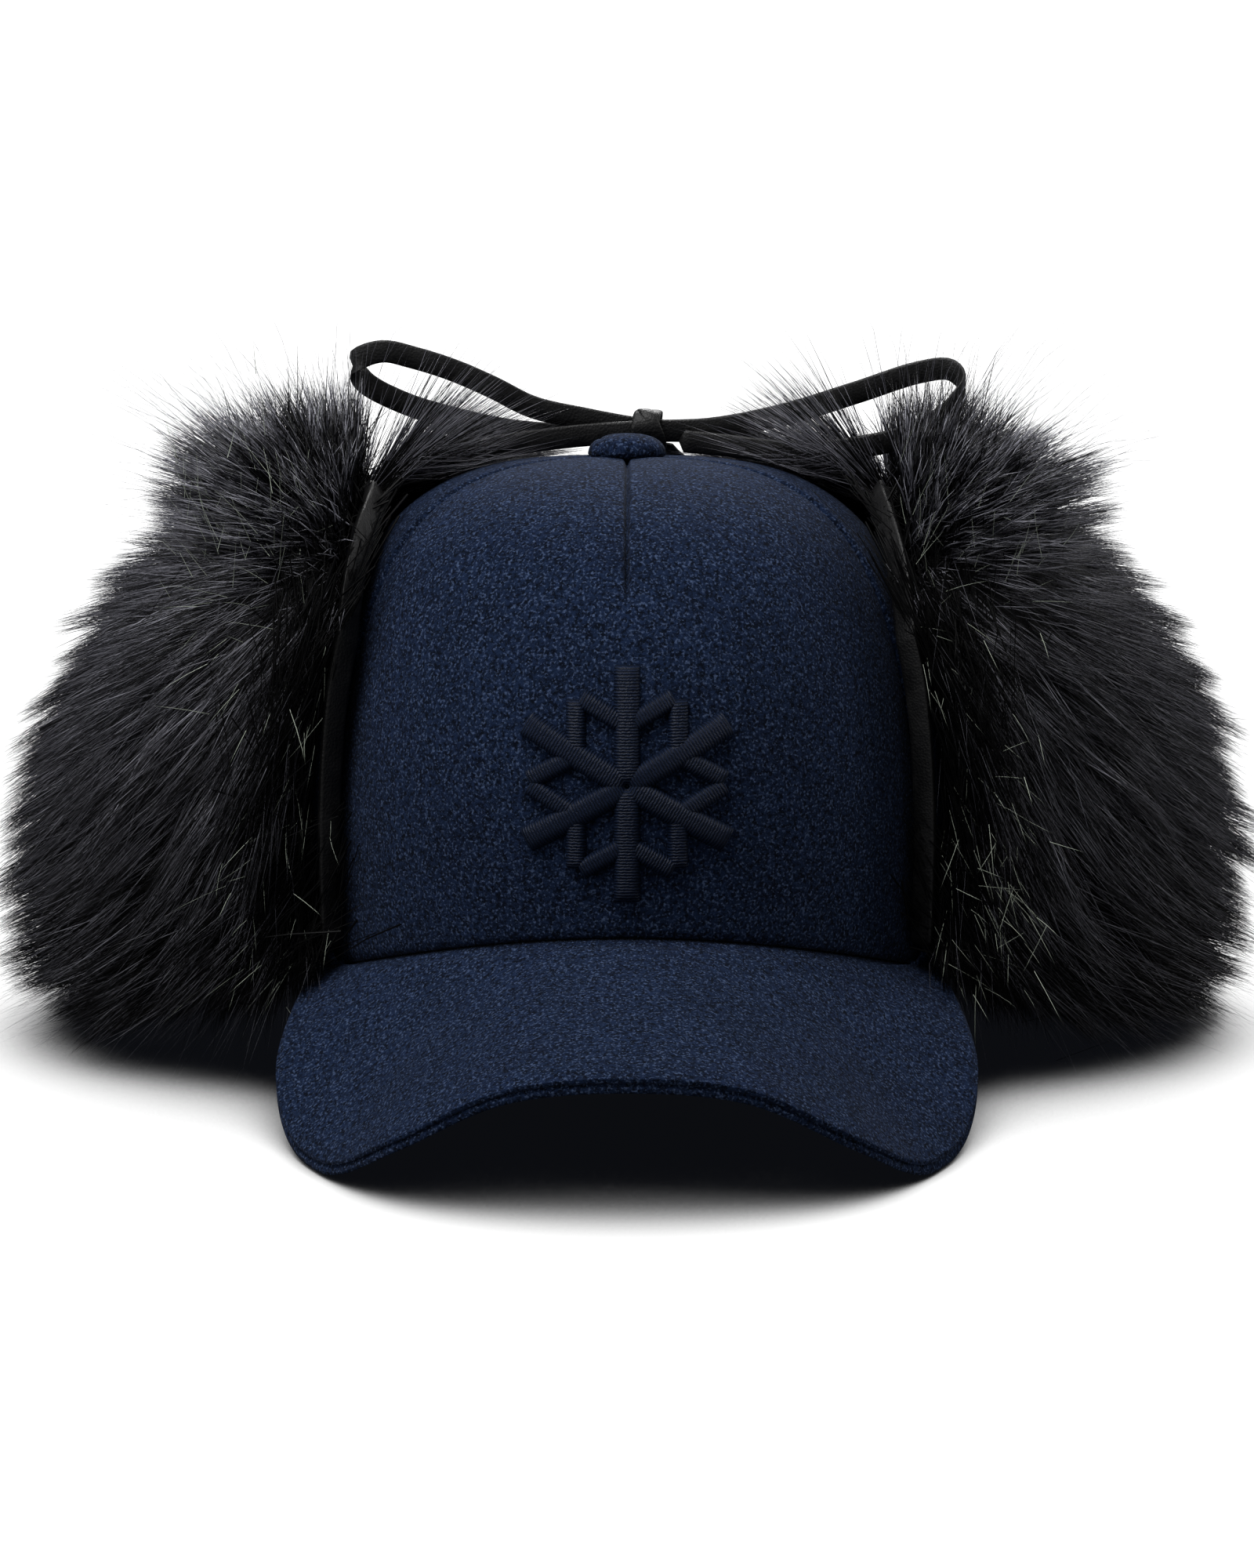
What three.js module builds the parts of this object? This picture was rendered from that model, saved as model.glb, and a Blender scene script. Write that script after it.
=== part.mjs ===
// Trapper hat: a cap crown with a visor, two fur ear flaps and a fur neck flap folded up against the
// crown, and two leather laces from the ear flaps tied in a bow on top. Millimetres, +Z up, the hat
// stands on a table and faces -Y. Left and right are the wearer's, so left is +X.
import * as THREE from 'three';

// ---- Driving dimensions ----
// Crown, measured on the outside of the cloth.
const HALF_WIDTH = 81;
const HALF_LENGTH = 101;
const TOP = 149.5; // height of the crown under its button
const TOP_SLOPE = 0.14; // the crown leans back, so its top falls by this much per millimetre of depth
const BACK_RIM = 6; // height of the rim at the back, which is its lowest point
const RIM_RISE = 44; // how much higher the rim is at the visor
const SIDE_POWER = 3.2; // superellipse powers of the side, front and back profiles
const FRONT_POWER = 2.6;
const BACK_POWER = 2.35;
const EVEN_STEPS = 1.6; // spreads equal steps of height evenly along a profile
const PANEL_TOP = 0.95; // the panels stop here and leave a small hole under the button
const RINGS = 10;

// Layers of the crown, as depths under the outside of the cloth.
const CLOTH = [0, 2.0];
const BUCKRAM = [2.6, 3.6];
const LINING = [4.6, 5.4];
const SWEATBAND = [6.4, 7.6];
const SWEATBAND_RINGS = 2;
const SEAM_GAP = 0.3;

// Panel seams, in degrees round from the front.
const FRONT_SEAM = 64;
const REAR_SEAM = 122;

// Button on the crown.
const BUTTON_RADIUS = 9.75;
const BUTTON_HEIGHT = 5.6;
const BUTTON_LIFT = 0.5;
const SHANK_RADIUS = 1.2;
const WASHER_RADIUS = 4;
const WASHER = [3.85, 4.35]; // depths under the top of the crown

// Visor: its underside's outer edge from the middle to the left end, which the right half mirrors.
const VISOR_EDGE = [
  [0, -172, 30.5], [28, -169, 27], [53, -159, 13], [70, -137, 0.6],
  [80.5, -114, 1], [85, -90, 10], [82, -66, 19], [76.5, -47, 25.5],
];
const VISOR_TOP_LAYER = [3.8, 5.5]; // heights over the underside
const VISOR_BOARD_LAYER = [2, 3.3];
const VISOR_UNDER_LAYER = [0, 1.5];
const VISOR_COVER_EXTENT = [1, 1]; // shares of the visor's width and reach
const VISOR_BOARD_EXTENT = [0.91, 0.965]; // the board stops short of the covers' sewn edge

// Embroidered six-armed snowflake on the front panel.
const STAR_HEIGHT = 87; // height of its middle over the table
const STAR_ARM = 28;
const STAR_STROKE = 6.5;
const STAR_BRANCH_AT = 14;
const STAR_BRANCH = 13;
const STAR_BRANCH_STROKE = 5;
const STAR_LIFT = 0.55;
const STAR_RELIEF = 2.0;

// Flaps. Each is folded up against the crown and reaches from t0 to t1 of the crown's profile.
const FLAP_BOARD = 3; // cloth and its lining together
const FLAP_STAND_OFF = [3.2, 5.5]; // clearance to the crown at the fold and at the tip
const FUR_GAP = 1;
const EAR_FLAP = { centre: 92, half: 33, t0: 0.03, t1: 0.55, rounding: 0.3 };
const NECK_FLAP = { centre: 180, half: 34, t0: 0.03, t1: 0.33, rounding: 0.2 };
const BINDING = [0.014, 0.05]; // the leather binding's inner and outer edge, as growth of the flap's outline
const BINDING_DEPTH = [-1.4, 4.4];
const TAB_U = [1.06, 1.13];
const TAB_W = 0.09;
const TAB_DEPTH = [0.6, 2.2];

// Outlines of the fur in the middle of each flap: [distance outward, height], from fold to tip.
const EAR_FUR = [
  [89, 19], [118, 9.5], [142, 6], [153, 24], [153.5, 60], [142, 98], [122, 128], [100, 144], [82, 149], [67, 148],
];
const NECK_FUR = [[108, 9.5], [120, -0.5], [139, -3], [148, 14], [147, 38], [135, 66], [117, 88]];
const FUR_SPREAD = 1.14;
const FUR_EDGE = 0.3; // share of the middle's thickness that is left at the flap's edges
const FUR_FLOOR = { ear: 1.2, neck: 0 };

// Laces: flat leather, with their routes over the crown in the order from the flap's tab to the free end.
const LACE_WIDTH = 5.8;
const LACE_THICKNESS = 1.4;
const LACE_STEPS = 76;
const TAIL_STEPS = 18;
const RIGHT_LACE = [
  [-53.6, 3, 145.4], [-43, 7, 148.2], [-30, 10, 150.2], [-14, 12.5, 152], [5, 13, 153.2],
  [22, 13, 154], [40, 13, 157.6], [58, 13, 163.2], [74, 13, 168.4], [81.5, 12, 169.2],
  [84.5, 8, 166], [81.5, 4, 160.5], [71, 1, 154.4], [56, 0.5, 151], [44, 3, 149.6],
  [34, 6.5, 149.7], [24, 9.4, 150.4], [13, 10.6, 151.2],
];
const LEFT_LACE = [
  [53.6, 3, 145.4], [47, 9, 147.2], [39, 14.4, 148.8], [29, 16, 151], [18, 16.2, 152.6],
  [5, 16, 153.2], [-12, 16, 156.2], [-24, 16, 159], [-34, 16, 164], [-44, 16, 168.4],
  [-54, 16, 171.6], [-62, 16, 173.2], [-68.5, 17, 170.4], [-67, 19, 165.4], [-57, 20, 159.5],
  [-43, 20, 155.2], [-29, 19.6, 152.3], [-15, 19.2, 151.4], [-3, 19, 151.8],
];
const RIGHT_TAIL = [
  [1.4, 20.6, 149], [0, 27, 145.8], [-4, 35, 142], [-8, 43, 137.2], [-13, 51, 131.4], [-17, 59, 124.2], [-20, 66, 116.4],
];
const LEFT_TAIL = [
  [8.6, 20.6, 149], [10.6, 27, 145.8], [14, 35, 141.8], [19, 43, 136.6], [25, 50, 130.4], [31, 56, 123.4], [37, 61, 115.6],
];
const KNOT = { x: 5, y: 14.5, z: 153.7, length: 8, depth: 9.5, height: 10.4 };
const KNOT_SLOT = { depth: 5.8, height: 7.6 };

const UP = new THREE.Vector3(0, 0, 1);
const SIDES = { left: 1, right: -1 };

// ---- Finishes ----
function finish(colour, roughness, metalness = 0) {
  return new THREE.MeshStandardMaterial({ color: colour, roughness, metalness });
}

const FINISHES = {
  melton: finish(0x18233f, 0.95),
  buckram: finish(0xd8d2c4, 0.9),
  lining: finish(0x14161c, 0.55),
  sweatband: finish(0x17181b, 0.8),
  board: finish(0xe4e2dc, 0.6),
  fur: finish(0x26252a, 0.7),
  leather: finish(0x131315, 0.5),
  thread: finish(0x1c1f2a, 0.45),
  steel: finish(0xa8abb0, 0.35, 1),
};

// ---- Helpers ----
function mix(a, b, share) {
  return a + (b - a) * share;
}

// Moves every vertex of a plain geometry through a mapping, and turns the faces round if it mirrors them.
function bend(geometry, place) {
  const points = geometry.attributes.position;
  if (!geometry.index) geometry.setIndex([...Array(points.count).keys()]);
  for (let i = 0; i < points.count; i++) {
    const target = place(points.getX(i), points.getY(i), points.getZ(i));
    points.setXYZ(i, target.x, target.y, target.z);
  }
  if (signedVolume(geometry) < 0) {
    const index = geometry.index;
    for (let i = 0; i < index.count; i += 3) {
      const first = index.getX(i);
      index.setX(i, index.getX(i + 1));
      index.setX(i + 1, first);
    }
  }
  return geometry;
}

function signedVolume(geometry) {
  const points = geometry.attributes.position;
  const index = geometry.index;
  const [a, b, c] = [new THREE.Vector3(), new THREE.Vector3(), new THREE.Vector3()];
  let sum = 0;
  for (let i = 0; i < index.count; i += 3) {
    a.fromBufferAttribute(points, index.getX(i));
    b.fromBufferAttribute(points, index.getX(i + 1));
    c.fromBufferAttribute(points, index.getX(i + 2));
    sum += a.dot(b.cross(c)) / 6;
  }
  return sum;
}

// A slab whose three directions run 0..1, bent into place.
function slab(along, across, place) {
  const box = new THREE.BoxGeometry(1, 1, 1, along, across, 1);
  return bend(box, (x, y, z) => place(x + 0.5, y + 0.5, z + 0.5));
}

// ---- Crown ----
function rimHeight(angle) {
  return BACK_RIM + RIM_RISE * ((1 + Math.cos(angle)) / 2) ** 2;
}

function profilePower(angle) {
  const side = Math.sin(angle) ** 2;
  const end = Math.cos(angle) > 0 ? FRONT_POWER : BACK_POWER;
  return side * SIDE_POWER + (1 - side) * end;
}

// A point of the crown: angle round from the front in radians, t from the rim (0) to the button (1),
// and depth under the outside of the cloth, negative outside it.
function crownPoint(angle, t, depth) {
  const climb = t ** EVEN_STEPS / (t ** EVEN_STEPS + (1 - t) ** EVEN_STEPS);
  const power = profilePower(angle);
  const out = Math.cos(climb * Math.PI / 2) ** (2 / power);
  const up = Math.sin(climb * Math.PI / 2) ** (2 / power);
  const x = (HALF_WIDTH - depth) * out * Math.sin(angle);
  const y = -(HALF_LENGTH - depth) * out * Math.cos(angle);
  const rim = rimHeight(angle);
  const top = TOP - TOP_SLOPE * y - depth;
  return new THREE.Vector3(x, y, rim + (top - rim) * up);
}

function crownPanel(from, to, [outer, inner], segments) {
  const [start, end] = [THREE.MathUtils.degToRad(from), THREE.MathUtils.degToRad(to)];
  return slab(segments, RINGS, (u, v, w) => {
    const t = v * PANEL_TOP;
    const reach = crownPoint(mix(start, end, u), t, outer);
    const trim = Math.sign(end - start) * SEAM_GAP / 2 / Math.hypot(reach.x, reach.y);
    return crownPoint(mix(start + trim, end - trim, u), t, mix(inner, outer, w));
  });
}

function crownLining() {
  const stations = [...Array(RINGS + 1).keys()].map((i) => 1 - PANEL_TOP * i / RINGS);
  const profile = [
    new THREE.Vector2(0, LINING[1]),
    ...stations.toReversed().map((r) => new THREE.Vector2(r, LINING[1])),
    ...stations.map((r) => new THREE.Vector2(r, LINING[0])),
    new THREE.Vector2(0, LINING[0]),
  ];
  return bend(new THREE.LatheGeometry(profile, 24), onCrown);
}

// Lathe space to the crown: radius 1 is the rim, radius 0 the top, and height is the depth.
function onCrown(x, y, z) {
  const radius = Math.hypot(x, z);
  return crownPoint(Math.atan2(x, z), 1 - Math.min(radius, 1), y);
}

function sweatband() {
  const stations = [...Array(SWEATBAND_RINGS + 1).keys()].map((i) => 1 - PANEL_TOP * i / RINGS);
  const profile = [
    ...stations.map((r) => new THREE.Vector2(r, SWEATBAND[0])),
    ...stations.toReversed().map((r) => new THREE.Vector2(r, SWEATBAND[1])),
    new THREE.Vector2(stations[0], SWEATBAND[0]),
  ];
  return bend(new THREE.LatheGeometry(profile, 24), onCrown);
}

// ---- Button ----
function buttonCap() {
  const dome = new THREE.EllipseCurve(0, 1.5, BUTTON_RADIUS, BUTTON_HEIGHT - 1.5, 0, Math.PI / 2);
  const profile = [
    new THREE.Vector2(0, BUTTON_LIFT),
    new THREE.Vector2(BUTTON_RADIUS - 0.6, BUTTON_LIFT),
    ...dome.getPoints(6),
  ];
  profile.at(-1).x = 0;
  return new THREE.LatheGeometry(profile, 24);
}

function buttonRivet() {
  const profile = [
    [0, -WASHER[1]], [WASHER_RADIUS, -WASHER[1]], [WASHER_RADIUS, -WASHER[0]],
    [SHANK_RADIUS, -WASHER[0]], [SHANK_RADIUS, BUTTON_LIFT - 0.3], [0, BUTTON_LIFT - 0.3],
  ].map(([r, height]) => new THREE.Vector2(r, height));
  return new THREE.LatheGeometry(profile, 16);
}

// ---- Visor ----
const visorEdge = new THREE.CatmullRomCurve3(
  [...VISOR_EDGE.slice(1).map(([x, y, z]) => [-x, y, z]).toReversed(), ...VISOR_EDGE]
    .map((point) => new THREE.Vector3(...point)),
);

// share runs -1..1 from the right end of the visor to the left, and reach 0..1 from seam to edge.
function visorPoint(share, reach, height) {
  const seam = crownPoint(share * THREE.MathUtils.degToRad(FRONT_SEAM), 0, -SEAM_GAP);
  const edge = visorEdge.getPoint((share + 1) / 2);
  const point = seam.clone();
  point.z -= VISOR_TOP_LAYER[1] - 0.4;
  point.lerp(edge, reach);
  point.z = Math.max(point.z, 0) + height;
  return point;
}

function visorLayer([low, high], [width, depth]) {
  return slab(30, 6, (u, v, w) => {
    const share = THREE.MathUtils.clamp(2 * u - 1, -width, width);
    const reach = THREE.MathUtils.clamp(v, 1 - depth, depth);
    return visorPoint(share, reach, mix(low, high, w));
  });
}

// ---- Embroidery ----
function starShape() {
  const half = STAR_STROKE / 2;
  const lean = THREE.MathUtils.degToRad(60);
  const along = new THREE.Vector2(Math.cos(lean), Math.sin(lean));
  const across = new THREE.Vector2(along.y, -along.x).multiplyScalar(STAR_BRANCH_STROKE / 2);
  const tip = new THREE.Vector2(STAR_BRANCH_AT, 0).addScaledVector(along, STAR_BRANCH);
  const outer = tip.clone().add(across);
  const inner = tip.clone().sub(across);
  const meet = (corner) => corner.x - (corner.y - half) / Math.tan(lean);
  const side = [
    [half / Math.tan(lean / 2), half], [meet(inner), half], [inner.x, inner.y],
    [outer.x, outer.y], [meet(outer), half], [STAR_ARM, half],
  ];
  const arm = [...side.slice(1).map(([a, b]) => [a, -b]), ...side.toReversed()];
  const points = [];
  for (let i = 0; i < 6; i++) {
    const turn = Math.PI / 2 + i * lean;
    for (const [a, b] of arm) {
      points.push(new THREE.Vector2(a, b).rotateAround(new THREE.Vector2(), turn));
    }
  }
  return new THREE.Shape(points);
}

// The point of the front panel at a given x and height, standing proud of the cloth.
function frontPoint(x, z, proud) {
  let angle = 0;
  let out = 1;
  let y = -HALF_LENGTH;
  for (let round = 0; round < 6; round++) {
    const rim = rimHeight(angle);
    const rise = (z - rim) / (TOP - TOP_SLOPE * y - rim);
    out = (1 - rise ** profilePower(angle)) ** (1 / profilePower(angle));
    angle = Math.asin(x / (HALF_WIDTH * out));
    y = -HALF_LENGTH * out * Math.cos(angle);
  }
  return new THREE.Vector3(x, y, z).addScaledVector(new THREE.Vector3(x / 65, -1, 0.15).normalize(), proud);
}

function frontEmbroidery() {
  const flat = new THREE.ExtrudeGeometry(starShape(), { depth: STAR_RELIEF, bevelEnabled: false, steps: 1 });
  return bend(flat, (x, y, z) => frontPoint(x, STAR_HEIGHT + y, STAR_LIFT + z));
}

// ---- Flaps ----
// A point of a flap's cloth: u from fold to tip, w from -1 to 1 across, depth away from the crown.
function flapPoint(flap, side, u, w, depth) {
  const angle = THREE.MathUtils.degToRad(flap.centre + flap.half * w) * side;
  const t = flap.t0 + (flap.t1 - flap.t0) * u * (1 - flap.rounding * Math.abs(w) ** 3);
  return crownPoint(angle, t, -(mix(FLAP_STAND_OFF[0], FLAP_STAND_OFF[1], u) + depth));
}

function flapCloth(flap, side) {
  return slab(8, 10, (u, v, w) => flapPoint(flap, side, v, 2 * u - 1, w * FLAP_BOARD));
}

// The fur's outside: the outline in the middle of the flap, thinner and wider towards its edges.
function furPoint(flap, side, outline, floor, u, w, depth) {
  const inner = flapPoint(flap, side, u, w * 0.97, FLAP_BOARD + FUR_GAP);
  const middle = flapPoint(flap, side, u, 0, FLAP_BOARD + FUR_GAP);
  const [out, height] = outline.getPoint(u).toArray();
  const angle = THREE.MathUtils.degToRad(Math.round(flap.centre / 90) * 90) * side;
  const target = new THREE.Vector3(out * Math.sin(angle), -out * Math.cos(angle), height);
  target.x += flap === EAR_FLAP ? 0 : middle.x;
  target.y += flap === EAR_FLAP ? middle.y : 0;
  const dome = mix(FUR_EDGE, 1, Math.sqrt(1 - Math.abs(w) ** 2.2));
  const outer = target.sub(middle).multiplyScalar(dome);
  outer.add(middle).addScaledVector(inner.clone().sub(middle), FUR_SPREAD);
  const point = inner.lerp(outer, depth);
  point.z = Math.max(point.z, floor);
  return point;
}

function flapFur(flap, side, points, floor) {
  const outline = new THREE.SplineCurve(points.map(([out, height]) => new THREE.Vector2(out, height)));
  return slab(8, 10, (u, v, w) => furPoint(flap, side, outline, floor, v, 2 * u - 1, w));
}

// The outline of a flap as a path from one end of its fold, round the tip, to the other end.
function flapEdge(s) {
  const corner = 0.3;
  if (s < corner) return [s / corner, -1];
  if (s > 1 - corner) return [(1 - s) / corner, 1];
  return [1, mix(-1, 1, (s - corner) / (1 - 2 * corner))];
}

function flapBinding(flap, side) {
  return slab(30, 1, (s, a, d) => {
    const [u, w] = flapEdge(s);
    const growth = 1 + mix(BINDING[0], BINDING[1], a);
    return flapPoint(flap, side, u * growth, w * growth, mix(BINDING_DEPTH[0], BINDING_DEPTH[1], d));
  });
}

function laceTab(side) {
  return slab(1, 2, (u, v, w) => flapPoint(
    EAR_FLAP, side, mix(TAB_U[0], TAB_U[1], v), mix(-TAB_W, TAB_W, u), mix(TAB_DEPTH[0], TAB_DEPTH[1], w),
  ));
}

// ---- Laces ----
// A route whose frames keep the lace's width upright, so that it lies as a flat band on edge.
class LaceRoute extends THREE.CatmullRomCurve3 {
  computeFrenetFrames(segments) {
    const frames = { tangents: [], normals: [], binormals: [] };
    for (let i = 0; i <= segments; i++) {
      const tangent = this.getTangentAt(i / segments);
      const normal = new THREE.Vector3().crossVectors(tangent, UP).normalize();
      frames.tangents.push(tangent);
      frames.normals.push(normal);
      frames.binormals.push(new THREE.Vector3().crossVectors(tangent, normal));
    }
    return frames;
  }
}

// The lace stands on edge, with its wide face towards the front, or lies flat.
function lace(points, steps, flat = false) {
  const section = new THREE.Shape();
  const [half, thin] = [LACE_WIDTH / 2, LACE_THICKNESS / 2];
  const corner = thin * 0.6;
  const outline = [
    [thin, half - corner], [thin - corner, half], [corner - thin, half], [-thin, half - corner],
    [-thin, corner - half], [corner - thin, -half], [thin - corner, -half], [thin, corner - half],
  ];
  section.setFromPoints(outline.map(([x, y]) => (flat ? new THREE.Vector2(-y, x) : new THREE.Vector2(x, y))));
  const route = new LaceRoute(points.map((point) => new THREE.Vector3(...point)));
  return new THREE.ExtrudeGeometry(section, { steps, extrudePath: route, bevelEnabled: false });
}

function bowKnot() {
  const outline = new THREE.Shape();
  const [halfDepth, halfHeight, corner] = [KNOT.depth / 2, KNOT.height / 2, 2];
  outline.moveTo(corner - halfDepth, -halfHeight);
  outline.lineTo(halfDepth - corner, -halfHeight);
  outline.quadraticCurveTo(halfDepth, -halfHeight, halfDepth, corner - halfHeight);
  outline.lineTo(halfDepth, halfHeight - corner);
  outline.quadraticCurveTo(halfDepth, halfHeight, halfDepth - corner, halfHeight);
  outline.lineTo(corner - halfDepth, halfHeight);
  outline.quadraticCurveTo(-halfDepth, halfHeight, -halfDepth, halfHeight - corner);
  outline.lineTo(-halfDepth, corner - halfHeight);
  outline.quadraticCurveTo(-halfDepth, -halfHeight, corner - halfDepth, -halfHeight);
  const slot = new THREE.Path();
  const [slotDepth, slotHeight] = [KNOT_SLOT.depth / 2, KNOT_SLOT.height / 2];
  slot.moveTo(-slotDepth, -slotHeight);
  slot.lineTo(-slotDepth, slotHeight);
  slot.lineTo(slotDepth, slotHeight);
  slot.lineTo(slotDepth, -slotHeight);
  outline.holes.push(slot);
  const wrap = new THREE.ExtrudeGeometry(outline, { depth: KNOT.length, bevelEnabled: false, curveSegments: 3 });
  const start = KNOT.x - KNOT.length / 2;
  return bend(wrap, (x, y, z) => new THREE.Vector3(start + z, KNOT.y + x, KNOT.z + y));
}

// ---- Assembly ----
const hat = new THREE.Group();

function add(name, geometry, material, parent = hat) {
  const mesh = new THREE.Mesh(geometry, material);
  mesh.name = name;
  parent.add(mesh);
  return mesh;
}

add('front_panel', crownPanel(-FRONT_SEAM, FRONT_SEAM, CLOTH, 16), FINISHES.melton);
add('front_buckram', crownPanel(-FRONT_SEAM, FRONT_SEAM, BUCKRAM, 16), FINISHES.buckram);
for (const [name, side] of Object.entries(SIDES)) {
  add(`side_panel_${name}`, crownPanel(FRONT_SEAM * side, REAR_SEAM * side, CLOTH, 7), FINISHES.melton);
  add(`back_panel_${name}`, crownPanel(REAR_SEAM * side, 180 * side, CLOTH, 7), FINISHES.melton);
}
add('crown_lining', crownLining(), FINISHES.lining);
add('sweatband', sweatband(), FINISHES.sweatband);

const crownTop = new THREE.Group();
crownTop.position.z = TOP;
crownTop.rotation.x = Math.PI / 2 - Math.atan(TOP_SLOPE);
hat.add(crownTop);
add('button_cap', buttonCap(), FINISHES.melton, crownTop);
add('button_rivet', buttonRivet(), FINISHES.steel, crownTop);

add('visor_top_cover', visorLayer(VISOR_TOP_LAYER, VISOR_COVER_EXTENT), FINISHES.melton);
add('visor_board', visorLayer(VISOR_BOARD_LAYER, VISOR_BOARD_EXTENT), FINISHES.board);
add('visor_under_cover', visorLayer(VISOR_UNDER_LAYER, VISOR_COVER_EXTENT), FINISHES.melton);
add('front_embroidery', frontEmbroidery(), FINISHES.thread);

for (const [name, side] of Object.entries(SIDES)) {
  add(`ear_flap_cloth_${name}`, flapCloth(EAR_FLAP, side), FINISHES.melton);
  add(`ear_flap_fur_${name}`, flapFur(EAR_FLAP, side, EAR_FUR, FUR_FLOOR.ear), FINISHES.fur);
  add(`ear_flap_binding_${name}`, flapBinding(EAR_FLAP, side), FINISHES.leather);
  add(`lace_tab_${name}`, laceTab(side), FINISHES.leather);
}
add('neck_flap_cloth', flapCloth(NECK_FLAP, 1), FINISHES.melton);
add('neck_flap_fur', flapFur(NECK_FLAP, 1, NECK_FUR, FUR_FLOOR.neck), FINISHES.fur);
add('neck_flap_binding', flapBinding(NECK_FLAP, 1), FINISHES.leather);

add('lace_left', lace(LEFT_LACE, LACE_STEPS), FINISHES.leather);
add('lace_right', lace(RIGHT_LACE, LACE_STEPS), FINISHES.leather);
add('lace_tail_left', lace(LEFT_TAIL, TAIL_STEPS, true), FINISHES.leather);
add('lace_tail_right', lace(RIGHT_TAIL, TAIL_STEPS, true), FINISHES.leather);
add('bow_knot', bowKnot(), FINISHES.leather);

// The origin is on the table under the middle of the hat's box.
const box = new THREE.Box3().setFromObject(hat, true);
hat.position.set(-(box.min.x + box.max.x) / 2, -(box.min.y + box.max.y) / 2, -box.min.z);

export default hat;
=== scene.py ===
"""Trapper hat: wool crown and visor, faux-fur ear and neck flaps folded up, leather laces in a bow.

Shapes are worked out in millimetres round the middle of the crown, with the hat facing -Y and +Z up,
and shape_point() turns them into the frame's metres. Left is the wearer's left, +X.
"""

import math

import bmesh
import bpy
import numpy as np
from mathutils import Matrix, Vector


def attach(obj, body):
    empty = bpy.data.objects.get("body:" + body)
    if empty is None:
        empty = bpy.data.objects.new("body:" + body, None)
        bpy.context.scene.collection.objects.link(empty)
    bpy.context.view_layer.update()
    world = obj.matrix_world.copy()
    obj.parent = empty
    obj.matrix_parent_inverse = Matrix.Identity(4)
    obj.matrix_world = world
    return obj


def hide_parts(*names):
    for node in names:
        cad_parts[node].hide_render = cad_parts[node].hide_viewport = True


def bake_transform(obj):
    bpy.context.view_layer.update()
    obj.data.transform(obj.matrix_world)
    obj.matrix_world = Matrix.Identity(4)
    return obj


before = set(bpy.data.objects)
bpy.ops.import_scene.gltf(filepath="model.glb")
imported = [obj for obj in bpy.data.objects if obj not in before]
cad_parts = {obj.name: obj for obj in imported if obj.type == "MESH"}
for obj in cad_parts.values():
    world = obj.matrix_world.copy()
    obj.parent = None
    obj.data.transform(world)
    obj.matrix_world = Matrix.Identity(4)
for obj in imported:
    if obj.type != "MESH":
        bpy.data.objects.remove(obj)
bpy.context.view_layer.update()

# ---- Sizes, in millimetres ----
CROWN_MIDDLE_Y = 11.664  # where the middle of the crown lies in the frame
HALF_WIDTH = 81
HALF_LENGTH = 101
TOP = 149.5
TOP_SLOPE = 0.14
BACK_RIM = 6
RIM_RISE = 44
SIDE_POWER = 3.2
FRONT_POWER = 2.6
BACK_POWER = 2.35
EVEN_STEPS = 1.6
PANEL_TOP = 0.95
CLOTH = 2.0
FRONT_SEAM = 64
REAR_SEAM = 122
DART_FROM = 0.44
LACE_WIDTH = 5.8
LACE_THICKNESS = 1.4
LACE_GIRTH = 14
BINDING_REACH = 0.032  # how far the leather edge reaches past a flap's cut edge, as a share of the flap
GATHER = 0.55  # how far the hairs of a lock are drawn to its tip
HAIR_CUTS = (0.36, 0.7)  # where a hair may bend, as shares of its length
HAIR_SWELL = (1.0, 1.25, 1.6, 0.0)  # its width from root to tip
EAR_FLAP = {"centre": 92, "half": 33, "t0": 0.03, "t1": 0.55, "rounding": 0.3}
NECK_FLAP = {"centre": 180, "half": 34, "t0": 0.03, "t1": 0.33, "rounding": 0.2}
SIDES = {"left": 1, "right": -1}

RIGHT_LACE = [
    (-53.6, 3, 145.4), (-43, 7, 148.2), (-30, 10, 150.2), (-14, 12.5, 152), (5, 13, 153.2), (22, 13, 154),
    (40, 13, 157.6), (58, 13, 163.2), (74, 13, 168.4), (81.5, 12, 169.2), (84.5, 8, 166), (81.5, 4, 160.5),
    (71, 1, 154.4), (56, 0.5, 151), (44, 3, 149.6), (34, 6.5, 149.7), (24, 9.4, 150.4), (13, 10.6, 151.2),
]
LEFT_LACE = [
    (53.6, 3, 145.4), (47, 9, 147.2), (39, 14.4, 148.8), (29, 16, 151), (18, 16.2, 152.6), (5, 16, 153.2),
    (-12, 16, 156.2), (-24, 16, 159), (-34, 16, 164), (-44, 16, 168.4), (-54, 16, 171.6), (-62, 16, 173.2),
    (-68.5, 17, 170.4), (-67, 19, 165.4), (-57, 20, 159.5), (-43, 20, 155.2), (-29, 19.6, 152.3),
    (-15, 19.2, 151.4), (-3, 19, 151.8),
]
RIGHT_TAIL = [
    (1.4, 20.6, 149), (0, 27, 145.8), (-4, 35, 142), (-8, 43, 137.2), (-13, 51, 131.4), (-17, 59, 124.2),
    (-20, 66, 116.4),
]
LEFT_TAIL = [
    (8.6, 20.6, 149), (10.6, 27, 145.8), (14, 35, 141.8), (19, 43, 136.6), (25, 50, 130.4), (31, 56, 123.4),
    (37, 61, 115.6),
]
KNOT = (5, 14.5, 153.7)
VISOR_EDGE = [
    (0, -172, 30.5), (28, -169, 27), (53, -159, 13), (70, -137, 0.6),
    (80.5, -114, 1), (85, -90, 10), (82, -66, 19), (76.5, -47, 25.5),
]


# ---- Measuring ----
def shape_point(x, y, z):
    """A point given in millimetres round the crown, in the frame's metres."""
    return Vector((x, y + CROWN_MIDDLE_Y, z)) / 1000


def mix(a, b, share):
    return a + (b - a) * share


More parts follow.
